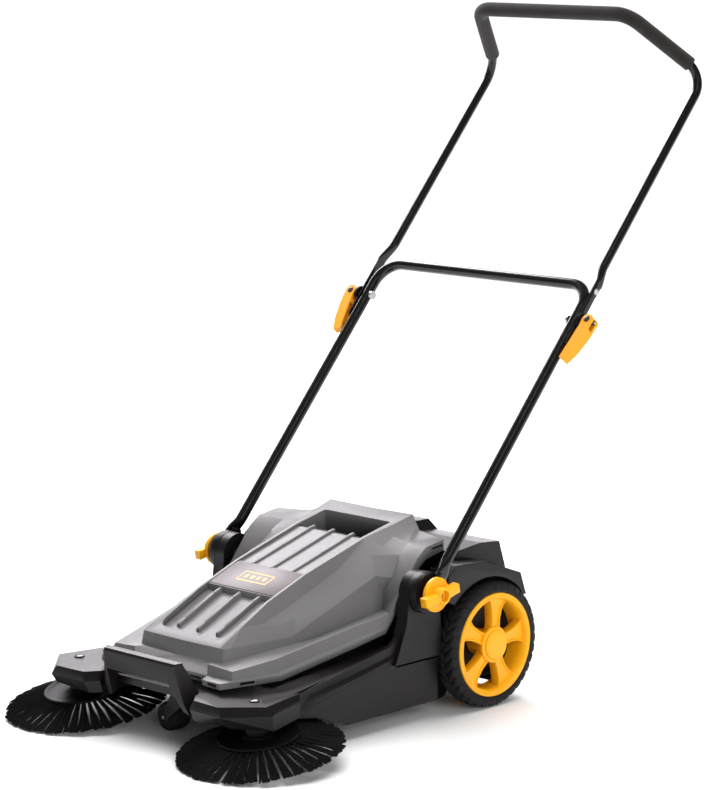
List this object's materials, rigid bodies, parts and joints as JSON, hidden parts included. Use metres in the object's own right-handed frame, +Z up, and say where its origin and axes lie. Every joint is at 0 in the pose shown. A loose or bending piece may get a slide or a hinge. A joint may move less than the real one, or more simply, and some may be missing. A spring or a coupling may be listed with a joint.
{
  "type": "carpet sweeper",
  "caption": "Push sweeper with tilted disc brushes, a roller brush driven by its wheels, a lift-out container and a folding push handle.",
  "frame": {"origin": "On the floor plane, under the centre of the bounding box.", "axes": "+X is the right-hand side of the machine, -Y is its front (the disc brushes), +Y is the side of the person pushing, +Z is up."},
  "size_m": [0.686, 1.1752, 1.138],
  "materials": {
    "container_cover": "satin moulded warm grey",
    "plaque": "semi-gloss brown grey",
    "side_frame_right": "fine satin near-black moulding",
    "side_frame_left": "fine satin near-black moulding",
    "wheel_arch_right": "fine satin near-black moulding",
    "wheel_arch_left": "fine satin near-black moulding",
    "bearing_plate_right": "fine satin near-black moulding",
    "bearing_plate_left": "fine satin near-black moulding",
    "brush_gearbox_right": "fine satin near-black moulding",
    "brush_gearbox_left": "fine satin near-black moulding",
    "front_crossmember": "fine satin near-black moulding",
    "front_carry_handle": "fine satin near-black moulding",
    "rear_hood": "fine satin near-black moulding",
    "debris_tray": "fine satin near-black moulding",
    "caster_fork": "fine satin near-black moulding",
    "brush_disc_right": "glossy black moulding",
    "brush_disc_left": "glossy black moulding",
    "belt_pulley_right": "glossy black moulding",
    "belt_pulley_left": "glossy black moulding",
    "cup_washer_right": "glossy black moulding",
    "cup_washer_left": "glossy black moulding",
    "tyre_right": "moulded black rubber tread",
    "tyre_left": "moulded black rubber tread",
    "drive_belt_right": "black rubber",
    "drive_belt_left": "black rubber",
    "rear_flap": "black rubber",
    "caster_wheel": "black rubber",
    "wheel_rim_right": "satin golden yellow moulding",
    "wheel_rim_left": "satin golden yellow moulding",
    "hub_cap_right": "satin golden yellow moulding",
    "hub_cap_left": "satin golden yellow moulding",
    "wing_knob_right": "satin golden yellow moulding",
    "wing_knob_left": "satin golden yellow moulding",
    "cam_lever_right": "satin orange yellow moulding",
    "cam_lever_left": "satin orange yellow moulding",
    "wheel_gear": "natural nylon",
    "wheel_sleeve": "natural nylon",
    "roller_gear": "natural nylon",
    "roller_core": "black moulding",
    "roller_bristles": "black nylon bristle tufts",
    "brush_bristles_right": "black nylon bristle tufts",
    "brush_bristles_left": "black nylon bristle tufts",
    "lower_tube": "gloss black powder coat",
    "upper_handle": "gloss black powder coat",
    "foam_grip": "matte closed-cell foam",
    "countershaft_right": "zinc plated steel",
    "countershaft_left": "zinc plated steel",
    "brush_spindle_right": "zinc plated steel",
    "brush_spindle_left": "zinc plated steel",
    "wheel_axle": "zinc plated steel",
    "caster_axle": "zinc plated steel",
    "pivot_bolt_right": "zinc plated steel",
    "pivot_bolt_left": "zinc plated steel",
    "lock_bolt_right": "zinc plated steel",
    "lock_bolt_left": "zinc plated steel",
    "arm_screw_right": "zinc plated steel",
    "arm_screw_left": "zinc plated steel"
  },
  "bodies": {
    "chassis": {"front_crossmember": "front_crossmember", "front_carry_handle": "front_carry_handle", "rear_hood": "rear_hood", "rear_flap": "rear_flap", "wheel_axle": "wheel_axle", "side_frame_right": "side_frame_right", "side_frame_left": "side_frame_left", "arm_screw_right": "arm_screw_right", "arm_screw_left": "arm_screw_left", "bearing_plate_right": "bearing_plate_right", "bearing_plate_left": "bearing_plate_left", "wheel_arch_right": "wheel_arch_right", "wheel_arch_left": "wheel_arch_left", "brush_gearbox_right": "brush_gearbox_right", "brush_gearbox_left": "brush_gearbox_left", "drive_belt_right": "drive_belt_right", "drive_belt_left": "drive_belt_left", "pivot_bolt_right": "pivot_bolt_right", "pivot_bolt_left": "pivot_bolt_left"},
    "wheel_right_body": {"tyre_right": "tyre_right", "wheel_rim_right": "wheel_rim_right", "hub_cap_right": "hub_cap_right", "wheel_gear": "wheel_gear", "belt_pulley_right": "belt_pulley_right"},
    "wheel_left_body": {"tyre_left": "tyre_left", "wheel_rim_left": "wheel_rim_left", "hub_cap_left": "hub_cap_left", "wheel_sleeve": "wheel_sleeve", "belt_pulley_left": "belt_pulley_left"},
    "roller": {"roller_core": "roller_core", "roller_bristles": "roller_bristles", "roller_gear": "roller_gear"},
    "countershaft_right_body": {"countershaft_right": "countershaft_right"},
    "countershaft_left_body": {"countershaft_left": "countershaft_left"},
    "disc_brush_right": {"brush_spindle_right": "brush_spindle_right", "brush_disc_right": "brush_disc_right", "brush_bristles_right": "brush_bristles_right"},
    "disc_brush_left": {"brush_spindle_left": "brush_spindle_left", "brush_disc_left": "brush_disc_left", "brush_bristles_left": "brush_bristles_left"},
    "container": {"container_cover": "container_cover", "plaque": "plaque", "debris_tray": "debris_tray"},
    "lower_handle": {"lower_tube": "lower_tube", "lock_bolt_right": "lock_bolt_right", "lock_bolt_left": "lock_bolt_left", "cup_washer_right": "cup_washer_right", "cup_washer_left": "cup_washer_left"},
    "upper_handle_body": {"upper_handle": "upper_handle", "foam_grip": "foam_grip"},
    "knob_right": {"wing_knob_right": "wing_knob_right"},
    "knob_left": {"wing_knob_left": "wing_knob_left"},
    "lever_right": {"cam_lever_right": "cam_lever_right"},
    "lever_left": {"cam_lever_left": "cam_lever_left"},
    "caster_swivel_body": {"caster_fork": "caster_fork", "caster_axle": "caster_axle"},
    "caster_wheel_body": {"caster_wheel": "caster_wheel"}
  },
  "joints": [
    {"name": "wheel_right_spin", "type": "hinge", "parent": "chassis", "child": "wheel_right_body", "pos_m": [0.231, 0.04415, 0.106], "axis": [1, 0, 0], "continuous": true},
    {"name": "wheel_left_spin", "type": "hinge", "parent": "chassis", "child": "wheel_left_body", "pos_m": [-0.231, 0.04415, 0.106], "axis": [1, 0, 0], "continuous": true},
    {"name": "roller_spin", "type": "hinge", "parent": "chassis", "child": "roller", "pos_m": [0, -0.02917, 0.074], "axis": [1, 0, 0], "continuous": true},
    {"name": "countershaft_right_spin", "type": "hinge", "parent": "chassis", "child": "countershaft_right_body", "pos_m": [0.184, -0.46017, 0.07123], "axis": [1, 0, 0], "continuous": true},
    {"name": "countershaft_left_spin", "type": "hinge", "parent": "chassis", "child": "countershaft_left_body", "pos_m": [-0.184, -0.46017, 0.07123], "axis": [1, 0, 0], "continuous": true},
    {"name": "disc_brush_right_spin", "type": "hinge", "parent": "chassis", "child": "disc_brush_right", "pos_m": [0.207, -0.45549, 0.03957], "axis": [0, -0.1461, 0.9893], "continuous": true},
    {"name": "disc_brush_left_spin", "type": "hinge", "parent": "chassis", "child": "disc_brush_left", "pos_m": [-0.207, -0.45549, 0.03957], "axis": [0, -0.1461, 0.9893], "continuous": true},
    {"name": "container_lift", "type": "slide", "parent": "chassis", "child": "container", "axis": [0, 0, 1], "range_m": [0, 0.26]},
    {"name": "handle_fold", "type": "hinge", "parent": "chassis", "child": "lower_handle", "pos_m": [0, -0.10525, 0.2174], "axis": [1, 0, 0], "range_deg": [0, 112]},
    {"name": "upper_handle_fold", "type": "hinge", "parent": "lower_handle", "child": "upper_handle_body", "pos_m": [0, 0.25247, 0.62459], "axis": [1, 0, 0], "range_deg": [-140, 0]},
    {"name": "knob_right_turn", "type": "hinge", "parent": "lower_handle", "child": "knob_right", "pos_m": [0.255, -0.10525, 0.2174], "axis": [1, 0, 0], "continuous": true},
    {"name": "knob_left_turn", "type": "hinge", "parent": "lower_handle", "child": "knob_left", "pos_m": [-0.255, -0.10525, 0.2174], "axis": [1, 0, 0], "continuous": true},
    {"name": "lever_right_open", "type": "hinge", "parent": "lower_handle", "child": "lever_right", "pos_m": [0.276, 0.25247, 0.62459], "axis": [0, -0.7513, 0.66], "range_deg": [0, 120]},
    {"name": "lever_left_open", "type": "hinge", "parent": "lower_handle", "child": "lever_left", "pos_m": [-0.276, 0.25247, 0.62459], "axis": [0, 0.7513, -0.66], "range_deg": [0, 120]},
    {"name": "caster_swivel", "type": "hinge", "parent": "chassis", "child": "caster_swivel_body", "pos_m": [0, -0.41085, 0.075], "axis": [0, 0, 1], "continuous": true},
    {"name": "caster_wheel_spin", "type": "hinge", "parent": "caster_swivel_body", "child": "caster_wheel_body", "pos_m": [-0.038, -0.41085, 0.024], "axis": [0, 1, 0], "continuous": true}
  ],
  "couplings": [
    {"joint": "roller_spin", "follows": "wheel_right_spin", "ratio": -3},
    {"joint": "countershaft_right_spin", "follows": "wheel_right_spin", "ratio": 3},
    {"joint": "countershaft_left_spin", "follows": "wheel_left_spin", "ratio": 3},
    {"joint": "disc_brush_right_spin", "follows": "wheel_right_spin", "ratio": -3},
    {"joint": "disc_brush_left_spin", "follows": "wheel_left_spin", "ratio": 3}
  ]
}
